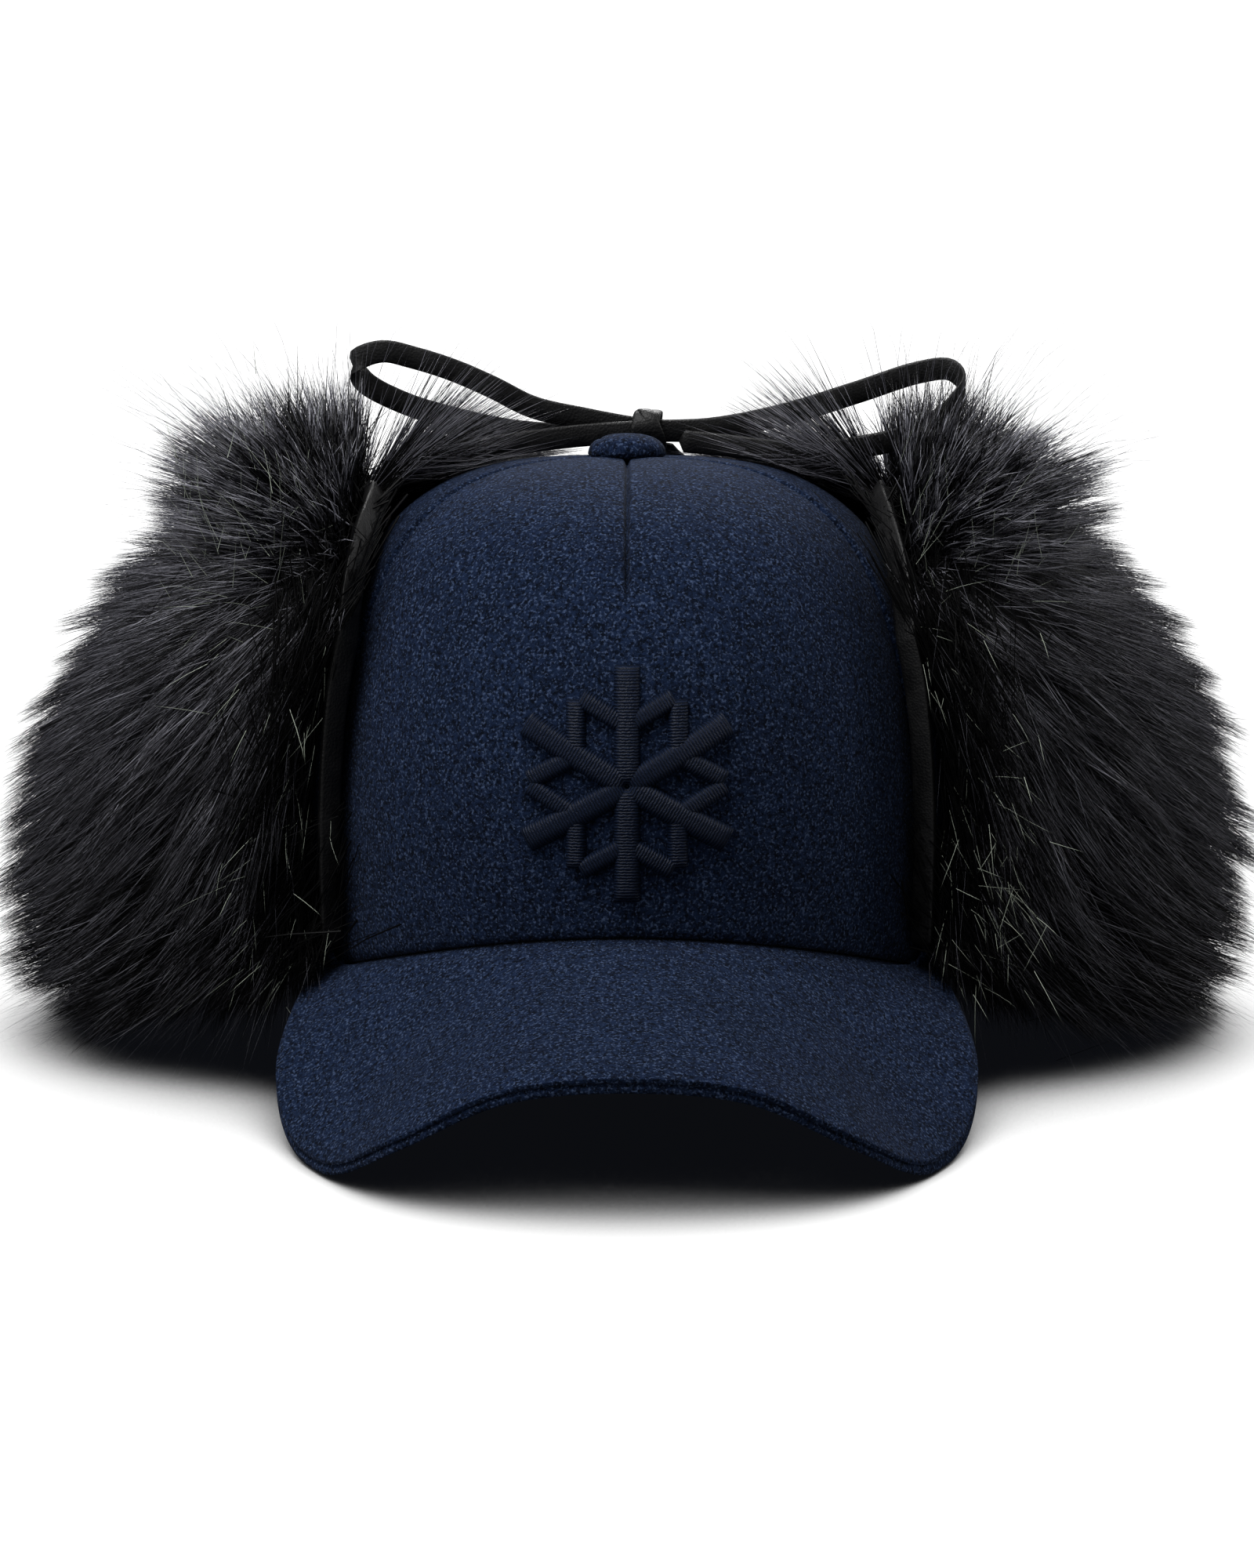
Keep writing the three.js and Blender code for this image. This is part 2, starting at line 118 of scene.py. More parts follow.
def ease(low, high, value):
    """Rises smoothly from 0 at low to 1 at high, or falls if high is below low."""
    share = min(max((value - low) / (high - low), 0), 1)
    return share * share * (3 - 2 * share)


def boxy(value, power=0.35):
    """Bends a sine or cosine, so that a round section turns into a flat band with rounded corners."""
    return math.copysign(abs(value) ** power, value)


def smooth_route(corners, steps):
    """Points a steady distance apart on the smooth curve through the corners."""
    given = np.array(corners, float)
    points = np.vstack([2 * given[0] - given[1], given, 2 * given[-1] - given[-2]])
    curve = []
    for i in range(1, len(points) - 2):
        p0, p1, p2, p3 = points[i - 1 : i + 3]
        gaps = [max(np.linalg.norm(b - a) ** 0.5, 1e-4) for a, b in ((p0, p1), (p1, p2), (p2, p3))]
        start = (p1 - p0) / gaps[0] - (p2 - p0) / (gaps[0] + gaps[1]) + (p2 - p1) / gaps[1]
        end = (p2 - p1) / gaps[1] - (p3 - p1) / (gaps[1] + gaps[2]) + (p3 - p2) / gaps[2]
        start, end = start * gaps[1], end * gaps[1]
        for t in np.linspace(0, 1, 24, endpoint=False):
            curve.append(
                (2 * t**3 - 3 * t**2 + 1) * p1
                + (t**3 - 2 * t**2 + t) * start
                + (3 * t**2 - 2 * t**3) * p2
                + (t**3 - t**2) * end
            )
    curve = np.array([*curve, given[-1]])
    walked = np.concatenate([[0], np.cumsum(np.linalg.norm(np.diff(curve, axis=0), axis=1))])
    even = np.linspace(0, walked[-1], steps + 1)
    return np.stack([np.interp(even, walked, curve[:, axis]) for axis in range(3)], axis=1)


def rim_height(angle):
    return BACK_RIM + RIM_RISE * ((1 + math.cos(angle)) / 2) ** 2


def profile_power(angle):
    side = math.sin(angle) ** 2
    end = FRONT_POWER if math.cos(angle) > 0 else BACK_POWER
    return side * SIDE_POWER + (1 - side) * end


def crown_point(angle, t, depth):
    """A point of the crown: angle round from the front, t from rim (0) to button (1), depth inside."""
    climb = t**EVEN_STEPS / (t**EVEN_STEPS + (1 - t) ** EVEN_STEPS)
    power = profile_power(angle)
    out = math.cos(climb * math.pi / 2) ** (2 / power)
    up = math.sin(climb * math.pi / 2) ** (2 / power)
    x = (HALF_WIDTH - depth) * out * math.sin(angle)
    y = -(HALF_LENGTH - depth) * out * math.cos(angle)
    rim = rim_height(angle)
    top = TOP - TOP_SLOPE * y - depth
    return np.array((x, y, rim + (top - rim) * up))


def front_point(x, z, proud):
    """The point of the front panel at a given x and height, standing proud of the cloth."""
    angle, y = 0, -HALF_LENGTH
    for _ in range(6):
        rim = rim_height(angle)
        rise = (z - rim) / (TOP - TOP_SLOPE * y - rim)
        power = profile_power(angle)
        out = (1 - rise**power) ** (1 / power)
        angle = math.asin(x / (HALF_WIDTH * out))
        y = -HALF_LENGTH * out * math.cos(angle)
    outward = np.array((x / 65, -1, 0.15))
    return np.array((x, y, z)) + outward / np.linalg.norm(outward) * proud


visor_edge = smooth_route([(-x, y, z) for x, y, z in VISOR_EDGE[:0:-1]] + VISOR_EDGE, 200)


def visor_point(share, reach, height):
    """A point of the visor: share from -1 at its right end to 1 at its left, reach from seam to edge."""
    tucked = 3.2 * ease(0.03, 0, reach)
    seam = crown_point(share * math.radians(FRONT_SEAM), 0, tucked - 0.3)
    seam[2] -= 5.1
    along = (share + 1) / 2 * (len(visor_edge) - 1)
    low = min(int(along), len(visor_edge) - 2)
    edge = mix(visor_edge[low], visor_edge[low + 1], along - low)
    point = mix(seam, edge, reach)
    point[2] = max(point[2], 0) + height
    return point


def flap_point(flap, side, u, w, depth):
    """A point of a flap folded up: u from fold to tip, w from -1 to 1 across, depth off the crown."""
    angle = math.radians(flap["centre"] + flap["half"] * w) * side
    t = flap["t0"] + (flap["t1"] - flap["t0"]) * u * (1 - flap["rounding"] * abs(w) ** 3)
    return crown_point(angle, t, -(mix(3.2, 5.5, u) + depth))


# ---- Making pieces ----
def cut_sheet(along, across, place, size=(1, 1)):
    """A sheet of cloth or leather whose two directions run 0 to 1, laid into its shape point by point.

    size is what the sheet measures in millimetres, and its UV map holds those sizes in metres."""
    bm = bmesh.new()
    uv = bm.loops.layers.uv.new("Cloth")
    bmesh.ops.create_grid(bm, x_segments=along, y_segments=across, size=0.5)
    for face in bm.faces:
        for loop in face.loops:
            loop[uv].uv = (
                (loop.vert.co.x + 0.5) * size[0] / 1000,
                (loop.vert.co.y + 0.5) * size[1] / 1000,
            )
    for vert in bm.verts:
        vert.co = shape_point(*place(vert.co.x + 0.5, vert.co.y + 0.5))
    return bm


def turn_outwards(bm, middle):
    """Turns an open sheet's faces away from a point in the frame."""
    bm.normal_update()
    middle = Vector(middle)
    facing = sum(f.normal.dot(f.calc_center_median() - middle) * f.calc_area() for f in bm.faces)
    if facing < 0:
        bmesh.ops.reverse_faces(bm, faces=bm.faces)


def close_seams(bm):
    bmesh.ops.remove_doubles(bm, verts=bm.verts, dist=1e-6)
    bmesh.ops.recalc_face_normals(bm, faces=bm.faces)


def sew_in(bm, name, body, finishes, stands_for=(), thickness=0):
    """Makes the object of a finished shape, and puts it on its body."""
    mesh = bpy.data.meshes.new(name)
    bm.to_mesh(mesh)
    bm.free()
    mesh.shade_smooth()
    piece = bpy.data.objects.new(name, mesh)
    bpy.context.scene.collection.objects.link(piece)
    for made_of in finishes:
        mesh.materials.append(made_of)
    if thickness:
        wall = piece.modifiers.new("Cloth thickness", "SOLIDIFY")
        wall.thickness = thickness / 1000
        wall.offset = -1
    if body:
        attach(piece, body)
    if stands_for:
        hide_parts(*stands_for)
    return piece


# ---- Finishes ----
def linear(hex_colour):
    channels = [int(hex_colour[i : i + 2], 16) / 255 for i in (1, 3, 5)]
    return (*[c / 12.92 if c <= 0.04045 else ((c + 0.055) / 1.055) ** 2.4 for c in channels], 1)


def add(tree, kind, feeds=None, **settings):
    """Adds a node with its settings. feeds gives each socket its value, or the output linked to it."""
    made = tree.nodes.new(kind)
    for name, value in settings.items():
        setattr(made, name, value)
    for socket, value in (feeds or {}).items():
        if isinstance(value, bpy.types.NodeSocket):
            tree.links.new(value, made.inputs[socket])
        else:
            made.inputs[socket].default_value = value
    return made


def new_finish(name):
    finish = bpy.data.materials.new(name)
    finish.use_nodes = True
    finish.node_tree.nodes.clear()
    return finish, finish.node_tree


def noise(tree, place, scale, detail, roughness=0.5):
    feeds = {"Vector": place, "Scale": scale, "Detail": detail, "Roughness": roughness}
    return add(tree, "ShaderNodeTexNoise", feeds).outputs["Fac"]


def ramp(tree, value, start, end, low, high):
    """Goes evenly from low to high while the value goes from start to end."""
    return add(tree, "ShaderNodeMapRange", {0: value, 1: start, 2: end, 3: low, 4: high}).outputs[0]


def tint(tree, share, low, high):
    """The low colour where share is 0, turning into the high one where it is 1."""
    return add(tree, "ShaderNodeMix", {0: share, 6: low, 7: high}, data_type="RGBA").outputs[2]


def relief(tree, height, strength, distance):
    feeds = {"Strength": strength, "Distance": distance, "Height": height}
    return add(tree, "ShaderNodeBump", feeds).outputs[0]


def close_finish(tree, feeds):
    shader = add(tree, "ShaderNodeBsdfPrincipled", feeds)
    add(tree, "ShaderNodeOutputMaterial", {"Surface": shader.outputs[0]})


def wool_melton(name, ground, dark, pale):
    """Fulled wool: a dense felted nap with paler and darker fibres through it, quite matt."""
    finish, tree = new_finish(name)
    place = add(tree, "ShaderNodeTexCoord").outputs["Object"]
    nap = noise(tree, place, 800, 3, 0.7)
    # Single fibres are about 0.03 mm; they are drawn as flecks of 0.6 mm, which is as fine as shows.
    fleck = noise(tree, place, 1500, 1)
    cloud = noise(tree, place, 60, 3, 0.6)
    body = tint(tree, ramp(tree, nap, 0.4, 0.58, 1.0, 0.0), linear(ground), linear(dark))
    clouded = tint(tree, ramp(tree, cloud, 0.3, 0.7, 0.0, 0.35), body, linear(dark))
    flecked = tint(tree, ramp(tree, fleck, 0.54, 0.74, 0.0, 0.9), clouded, linear(pale))
    close_finish(
        tree,
        {
            "Base Color": flecked,
            "Roughness": 0.95,
            "Normal": relief(tree, nap, 0.75, 0.0005),
            "Sheen Weight": 0.015,
            "Sheen Roughness": 0.5,
            "Specular IOR Level": 0.04,
        },
    )
    return finish


def leather(name, ground, worn, roughness):
    """Drum-dyed lamb leather: a fine pebbled grain of about 0.6 mm, softly shiny."""
    finish, tree = new_finish(name)
    place = add(tree, "ShaderNodeTexCoord").outputs["Object"]
    pebbles = add(tree, "ShaderNodeTexVoronoi", {"Vector": place, "Scale": 1600}, feature="F1")
    wear = noise(tree, place, 160, 4)
    rubbed = ramp(tree, wear, 0.5, 0.75, 0.0, 0.7)
    close_finish(
        tree,
        {
            "Base Color": tint(tree, rubbed, linear(ground), linear(worn)),
            "Roughness": ramp(tree, wear, 0.3, 0.7, roughness - 0.08, roughness + 0.12),
            "Normal": relief(tree, pebbles.outputs["Distance"], 0.35, 0.0003),
            "Specular IOR Level": 0.3,
        },
    )
    return finish


def satin_thread():
    """Rayon embroidery thread in satin stitch: threads side by side across each stroke, softly shiny."""
    finish, tree = new_finish("rayon satin stitch")
    place = add(tree, "ShaderNodeTexCoord").outputs["UV"]
    jitter = noise(tree, place, 220, 2)
    # Threads lie 0.4 mm apart; they are drawn 0.7 mm apart so that they show.
    threads = add(
        tree,
        "ShaderNodeTexWave",
        {"Vector": place, "Scale": 445, "Distortion": 2.6, "Detail": 2, "Detail Scale": 3},
        wave_type="BANDS",
        bands_direction="X",
    ).outputs["Fac"]
    colour = tint(tree, threads, linear("#040913"), linear("#141e33"))
    uneven = tint(tree, ramp(tree, jitter, 0.35, 0.7, 0.0, 0.5), colour, linear("#0b1426"))
    close_finish(
        tree,
        {
            "Base Color": uneven,
            "Roughness": 0.5,
            "Normal": relief(tree, threads, 0.6, 0.0004),
            "Specular IOR Level": 0.12,
        },
    )
    return finish


def fibre(name, colour, roughness, specular=0.5):
    """Modacrylic pile: smooth round fibres, so the colour is even and the shine is a thin line."""
    finish, tree = new_finish(name)
    close_finish(
        tree,
        {"Base Color": linear(colour), "Roughness": roughness, "Specular IOR Level": specular},
    )
    return finish


def pelt_ground_and_shade():
    """The knitted ground and dense short underwool that show deep between the hairs: near-black, partly
    their own colour and partly painted shade deep in the pile.
    """
    finish, tree = new_finish("faux fur ground and painted pile shade")
    place = add(tree, "ShaderNodeTexCoord").outputs["Object"]
    streaks = add(tree, "ShaderNodeMapping", {"Vector": place, "Scale": (140, 900, 900)})
    tufts = noise(tree, streaks.outputs[0], 1, 3)
    colour = tint(tree, tufts, linear("#020203"), linear("#141417"))
    bump = relief(tree, tufts, 1, 0.002)
    close_finish(tree, {"Base Color": colour, "Roughness": 0.85, "Normal": bump})
    return finish


def lining_satin():
    """Polyester lining: a smooth satin weave, shiny and slightly rippled."""
    finish, tree = new_finish("polyester lining satin")
    place = add(tree, "ShaderNodeTexCoord").outputs["Object"]
    weave = noise(tree, place, 1400, 1)
    ripples = noise(tree, place, 55, 2)
    colour = tint(tree, weave, linear("#0e1014"), linear("#1d2028"))
    bump = relief(tree, ripples, 0.5, 0.002)
    close_finish(tree, {"Base Color": colour, "Roughness": 0.38, "Normal": bump})
    return finish


def twill(name, ground, raised):
    """Cotton twill tape: diagonal ribs about 1.2 mm apart, matt."""
    finish, tree = new_finish(name)
    place = add(tree, "ShaderNodeTexCoord").outputs["UV"]
    slanted = add(tree, "ShaderNodeMapping", {"Vector": place, "Rotation": (0, 0, math.radians(55))})
    ribs = add(
        tree,
        "ShaderNodeTexWave",
        {"Vector": slanted.outputs[0], "Scale": 260, "Distortion": 0.8, "Detail": 1},
        wave_type="BANDS",
        bands_direction="X",
    ).outputs["Fac"]
    colour = tint(tree, ribs, linear(ground), linear(raised))
    bump = relief(tree, ribs, 0.6, 0.0004)
    close_finish(tree, {"Base Color": colour, "Roughness": 0.85, "Normal": bump})
    return finish


def hidden_stock(name, ground, speck, roughness, metallic=0.0, grain=500):
    """The stiffeners and the rivet inside: a plain stock with its own slight mottle."""
    finish, tree = new_finish(name)
    place = add(tree, "ShaderNodeTexCoord").outputs["Object"]
    colour = tint(tree, noise(tree, place, grain, 3), linear(ground), linear(speck))
    close_finish(tree, {"Base Color": colour, "Roughness": roughness, "Metallic": metallic})
    return finish


melton = wool_melton("navy wool melton", "#17233b", "#070c17", "#3f4d69")
black_leather = leather("black lamb leather", "#050506", "#111112", 0.5)
thread = satin_thread()
ground_and_pile_shade = pelt_ground_and_shade()
tip_shades = [
    fibre("soft black faux fur tips", "#050507", 0.45, 0.3),
    fibre("charcoal faux fur tips", "#3d3d45", 0.45, 0.5),
    fibre("slate faux fur tips", "#8c8c96", 0.4, 0.5),
    fibre("dark charcoal faux fur tips", "#121216", 0.45, 0.4),
]
ash_fur = fibre("ash guard hair tips", "#5a5a63", 0.4, 0.5)
black_fur = fibre("black faux fur", "#020203", 0.5, 0.12)
# Pale hairs that paint the glints of shiny guard hairs beside the crown.
painted_glint_hair = fibre("guard hair with painted glint", "#aab2a3", 0.3)
lining = lining_satin()
tape = twill("black twill tape", "#0c0c0e", "#232327")
buckram = hidden_stock("starched cotton buckram", "#cfc9ba", "#e3decf", 0.9)
visor_core = hidden_stock("polyethylene visor board", "#dad8d0", "#e9e7e1", 0.55, grain=120)
steel = hidden_stock("nickel-plated steel", "#9da0a5", "#b4b7bb", 0.3, metallic=1.0, grain=250)


# ---- Camera ----
AIM = Vector((0, CROWN_MIDDLE_Y, 64.7)) / 1000
DISTANCE = 1.6
RAISED = math.radians(13)
lens = bpy.data.cameras.new("Studio camera")
lens.lens = 144.6
lens.sensor_width = 36
lens.clip_start = 0.05
lens.clip_end = 50
camera = bpy.data.objects.new("Studio camera", lens)
bpy.context.scene.collection.objects.link(camera)
camera.location = AIM + Vector((0, -math.cos(RAISED), math.sin(RAISED))) * DISTANCE
camera.rotation_euler = (AIM - camera.location).to_track_quat("-Z", "Y").to_euler()
bpy.context.scene.camera = camera


# ---- Laces ----
def band_directions(path):
    """The thin and the wide direction of a band that stands on edge along a route."""
    tangents = np.gradient(path, axis=0)
    tangents /= np.linalg.norm(tangents, axis=1)[:, None]
    thin = np.cross(tangents, (0, 0, 1))
    thin /= np.linalg.norm(thin, axis=1)[:, None]
    return thin, np.cross(tangents, thin)


def lace_band(name, corners, steps, body, lies_flat, bare_end):
    """A flat leather lace along its route, on edge over the crown, or lying flat in the tails."""
    path = smooth_route(corners, steps)
    thin, wide = band_directions(path)
    if lies_flat:
        thin, wide = wide, thin

    def place(u, v):
        i = round(u * steps)
        turn = v * 2 * math.pi
        across = boxy(math.cos(turn)) * LACE_WIDTH / 2
        through = boxy(math.sin(turn), 0.7) * LACE_THICKNESS / 2
        through *= 1 - 0.25 * (across / LACE_WIDTH * 2) ** 2
        shrink = 1
        if u in (0, 1):
            shrink = 0
        elif bare_end and u > 1 - 3 / steps:
            across *= 0.8
        return path[i] + wide[i] * across * shrink + thin[i] * through * shrink

    length = np.linalg.norm(np.diff(path, axis=0), axis=1).sum()
    bm = cut_sheet(steps, 12, place, (length, LACE_GIRTH))
    close_seams(bm)
    band = sew_in(bm, name, body, [black_leather], [name])
    return band, [shape_point(*point) for point in path]


def path_length(path):
    return sum((b - a).length for a, b in zip(path, path[1:]))


def knot_wrap():
    """The lace wrapped over the crossing and tucked under: a flat ring with a second turn over it."""
    x0, y0, z0 = KNOT

    def turn_round(radius_y, radius_z, half, tilt, shift, thickness):
        def place(u, v):
            round_it = u * 2 * math.pi
            section = v * 2 * math.pi
            across = boxy(math.cos(section), 0.5) * half
            through = math.sin(section) * thickness / 2
            pinch = 1 + 0.05 * math.sin(3 * round_it + shift)
            y = (radius_y * pinch + through) * math.cos(round_it)
            z = (radius_z * pinch + through) * math.sin(round_it)
            x = across + tilt * math.sin(round_it + 0.6) + shift
            return np.array((x0 + x, y0 + y, z0 + z))

        bm = cut_sheet(40, 12, place, (40, 12))
        close_seams(bm)
        return bm

    wrapped = turn_round(3.9, 4.3, 3.6, 0.7, -0.2, 1.5)
    over = turn_round(4.3, 4.7, 1.9, -2.0, 1.1, 1.1)
    spare = bpy.data.meshes.new("spare turn")
    over.to_mesh(spare)
    over.free()
    wrapped.from_mesh(spare)
    bpy.data.meshes.remove(spare)
    return sew_in(wrapped, "bow_knot", "tie_right", [black_leather], ["bow_knot"])


knot = knot_wrap()
for name, corners, steps, body, flat, end, with_pieces in (
    ("lace_right", RIGHT_LACE, 150, "tie_right", False, "knot", [knot]),
    ("lace_left", LEFT_LACE, 150, "tie_left", False, "knot", []),
    ("lace_tail_right", RIGHT_TAIL, 36, "tie_right", True, "bare", []),
    ("lace_tail_left", LEFT_TAIL, 36, "tie_left", True, "bare", []),
):
    band, path = lace_band(name, corners, steps, body, flat, end == "bare")


# ---- Crown ----
def seam_dip(distance, width, depth):
    """How far cloth rolls in at a seam, for a distance from the seam line in millimetres."""
    return depth * math.exp(-((distance / width) ** 2))


def panel(name, start, end, columns):
    """A sewn panel of the crown, rolling in at its seams. Angles are degrees round from the front."""
    start, end = math.radians(start), math.radians(end)

    def place(u, v):
        s = u - 0.9 * math.sin(2 * math.pi * u) / (2 * math.pi)
        if name == "front_panel":
            s = u - 0.9 * math.sin(4 * math.pi * u) / (4 * math.pi)
        angle = mix(start, end, s)
        t = v * PANEL_TOP
        at = crown_point(angle, t, 0)
        reach = math.hypot(at[0], at[1])
        to_seam = min(s, 1 - s) * abs(end - start) * reach
        depth = seam_dip(to_seam, 1.1, 1.5)
        depth += seam_dip(v * 100, 1.2, 0.8)
        if name == "front_panel":
            dart = ease(DART_FROM, DART_FROM + 0.06, t)
            off = abs(angle) * reach
            depth += dart * (seam_dip(off, 0.75, 1.6) + seam_dip(off, 5, 0.6))
            pucker = math.sin(at[2] * 0.9) * seam_dip(off - 2.2, 2.5, 0.12)
            depth += dart * pucker
        depth += 0.35 * math.sin(at[0] * 0.055 + 1.3) * math.sin(at[2] * 0.06 + at[1] * 0.03)
        return crown_point(angle, t, depth)

    bm = cut_sheet(columns, 72, place, (abs(end - start) * 95, 150))
    turn_outwards(bm, shape_point(0, 0, 60))
    sew_in(bm, name, "crown", [melton], [name], CLOTH - 0.2)


panel("front_panel", -FRONT_SEAM, FRONT_SEAM, 180)
for hand, side in SIDES.items():
    panel(f"side_panel_{hand}", FRONT_SEAM * side, REAR_SEAM * side, 70)
    panel(f"back_panel_{hand}", REAR_SEAM * side, 180 * side, 70)


def crown_inside(name, made_of, low, high, deep, thickness, ripple):
    """The lining, or the sweatband, as one ring of cloth inside the crown."""

    def place(u, v):
        angle = u * 2 * math.pi
        t = mix(low, high, v)
        depth = deep + ripple * math.sin(angle * 11) * math.sin(math.pi * v)
        return crown_point(angle, t, depth)

    bm = cut_sheet(120, 30, place, (570, 150 * (high - low)))
    bmesh.ops.remove_doubles(bm, verts=bm.verts, dist=1e-6)
    turn_outwards(bm, shape_point(0, 0, 60))
    sew_in(bm, name, "crown", [made_of], [name], thickness)


crown_inside("crown_lining", lining, 0, 0.999, 4.7, 0.5, 0.25)
crown_inside("sweatband", tape, 0, 0.19, 6.5, 1.0, 0)


# ---- Button ----
def button():
    """A cloth-covered button: a low dome whose cloth is gathered under its edge."""
    bm = bmesh.new()
    bmesh.ops.create_uvsphere(bm, u_segments=64, v_segments=32, radius=1)
    for vert in bm.verts:
        x, y, z = vert.co
        radius = math.hypot(x, y)
        turn = math.atan2(y, x)
        gather = 0.25 * math.sin(turn * 9) * max(0, 1 - abs(z + 0.15) * 3)
        spread = (9.75 + gather) * (radius**0.8 if radius > 0 else 0)
        height = 0.6 + (4.9 * z if z > 0 else 2.6 * z)
        crease = 0.5 * math.exp(-(((x + 0.62) / 0.06) ** 2)) * max(z, 0)
        px = spread * math.cos(turn)
        py = spread * math.sin(turn)
        vert.co = shape_point(px, py, TOP - TOP_SLOPE * py + height - crease)
    bmesh.ops.recalc_face_normals(bm, faces=bm.faces)
    sew_in(bm, "button_cap", "crown", [melton], ["button_cap"])


button()


# ---- Visor ----
def visor_top(u, v):
    """The top cover: tucked in under the crown, rolled over the edge, with a sewn seam round the rim."""
    share = 2 * u - 1
    reach = min(v / 0.72, 1)
    roll = max(v - 0.72, 0) / 0.28
    height = 5.5 - seam_dip(reach * 75 - 2.4, 1.8, 1.3)
    height -= ease(0.93, 1, reach) * 0.7
    height = mix(height, 1.3, roll)
    inset = 0.004 * roll + 0.011 * math.exp(-(((roll - 0.5) / 0.13) ** 2))
    return visor_point(share, reach - inset, height)


def visor_under(u, v):
    share = 2 * u - 1
    reach = mix(0, 0.994, v)
    height = 0.1 + 0.95 * ease(0.96, 1, v)
    return visor_point(share, reach, height)


bm = cut_sheet(150, 84, visor_top, (200, 80))
turn_outwards(bm, shape_point(0, -100, -60))
sew_in(bm, "visor_top_cover", "crown", [melton], ["visor_top_cover"], 1.0)
bm = cut_sheet(140, 40, visor_under, (200, 75))
turn_outwards(bm, shape_point(0, -90, 200))
sew_in(bm, "visor_under_cover", "crown", [melton], ["visor_under_cover"], 1.0)


# ---- Embroidery ----
STAR_HEIGHT = 87
STAR_ARM = 28
STAR_BRANCH_AT = 14
STAR_BRANCH = 13


def satin_stroke(bm, start, end, width, relief):
    """A padded stroke of satin stitch between two points of the front panel."""
    start, end = np.array(start, float), np.array(end, float)
    length = np.linalg.norm(end - start)
    along = (end - start) / length
    across = np.array((-along[1], along[0]))

    def place(u, v):
        s = 2 * v - 1
        ends = 1 - (2 * u - 1) ** 16
        dome = (1 - abs(s) ** 3.2) ** 0.5 * ends**0.5
        ragged = 0.12 * math.sin(u * length * 4.1 + s * 2)
        spot = start + along * u * length + across * s * (width / 2 + ragged)
        return front_point(spot[0], STAR_HEIGHT + spot[1], mix(-0.6, relief, dome))

    stroke = cut_sheet(max(24, int(length * 2.2)), 18, place, (length, width))
    turn_outwards(stroke, shape_point(0, 0, 80))
    spare = bpy.data.meshes.new("spare stroke")
    stroke.to_mesh(spare)
    stroke.free()
    bm.from_mesh(spare)
    bpy.data.meshes.remove(spare)


def snowflake():
    bm = bmesh.new()
    bm.loops.layers.uv.new("Cloth")
    for i in range(6):
        turn = math.radians(90 + 60 * i)
        out = np.array((math.cos(turn), math.sin(turn)))
        satin_stroke(bm, out * 0.2, out * STAR_ARM, 6.5, 2.6)
        for lean in (60, -60):
            twig = math.radians(90 + 60 * i + lean)
            root = out * STAR_BRANCH_AT
            tip = root + np.array((math.cos(twig), math.sin(twig))) * STAR_BRANCH
            satin_stroke(bm, root, tip, 5, 2.3)
    sew_in(bm, "front_embroidery", "crown", [thread], ["front_embroidery"])


snowflake()


# ---- Flaps ----
def flap_cloth(name, flap, side, body):
    """The wool cloth of a flap, cut as one piece and folded up from the rim."""

    def place(u, v):
        return flap_point(flap, side, v, 2 * u - 1, 0.2)

    bm = cut_sheet(48, 48, place, (100, 90))
    turn_outwards(bm, shape_point(*(flap_point(flap, side, 0.5, 0, 60))))
    share = [i / 48 for i in range(49)]
    width = max(path_length([shape_point(*place(u, v)) for u in share]) for v in share)
    length = path_length([shape_point(*place(0.5, v)) for v in share])
    area = sum(f.calc_area() for f in bm.faces)
    cloth = sew_in(bm, name, body, [melton], [name], 2.6)


def flap_edge(s):
    """The outline of a flap, from one end of its fold, round the tip, to the other end."""
    corner = 0.3
    if s < corner:
        return s / corner, -1
    if s > 1 - corner:
        return (1 - s) / corner, 1
    return 1, mix(-1, 1, (s - corner) / (1 - 2 * corner))


def flap_binding(name, flap, side, body):
    """Leather folded over the flap's edge and stitched down."""

    def place(s, v):
        u, w = flap_edge(s)
        turn = v * 2 * math.pi
        grown = BINDING_REACH + 0.019 * boxy(math.cos(turn))
        deep = 1.5 + 2.9 * boxy(math.sin(turn))
        near = 0 if s in (0, 1) else 1
        growth = 1 + mix(BINDING_REACH, grown, near)
        return flap_point(flap, side, u * growth, w * growth, mix(1.5, deep, near))

    bm = cut_sheet(160, 14, place, (330, 14))
    close_seams(bm)
    sew_in(bm, name, body, [black_leather], [name])


def lace_tab(name, side, body):
    """The leather strap at the flap's tip that the lace is sewn to, on edge like the lace."""
    start = RIGHT_LACE[0] if side < 0 else LEFT_LACE[0]
    second = RIGHT_LACE[1] if side < 0 else LEFT_LACE[1]
    corners = [flap_point(EAR_FLAP, side, u, 0, 1.5) for u in (0.97, 1.03, 1.08)] + [start, second]
    route = smooth_route(corners, 24)[:20]
    thin, wide = band_directions(route)

    def place(u, v):
        i = round(u * 19)
        turn = v * 2 * math.pi
        near = 0 if i in (0, 19) else 1
        across = boxy(math.cos(turn)) * 3.3 * near
        through = math.sin(turn) * 1.15 * near
        return route[i] + wide[i] * across + thin[i] * through

    bm = cut_sheet(19, 12, place, (24, LACE_GIRTH))
    close_seams(bm)
    sew_in(bm, name, body, [black_leather], [name])


def fold_strip(name, flap, side):
    """The cloth hinge of a flap, from the crown's rim out and up into the flap."""
    middle = math.radians(round(flap["centre"] / 90) * 90) * side

    def place(u, v):
        w = (2 * u - 1) * 0.97
        angle = math.radians(flap["centre"] + flap["half"] * w) * side
        rim = crown_point(angle, 0, 1.0)
        flap_foot = flap_point(flap, side, 0.0, w, 1.6)
        point = mix(rim, flap_foot, v)
        point[2] = max(point[2] - 2.6 * math.sin(math.pi * v), 0.6)
        return point

    bm = cut_sheet(48, 10, place, (100, 10))
    turn_outwards(bm, shape_point(math.sin(middle) * 84, -math.cos(middle) * 104, 60))
    strip = sew_in(bm, name, None, [melton], (), 1.2)
    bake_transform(strip)


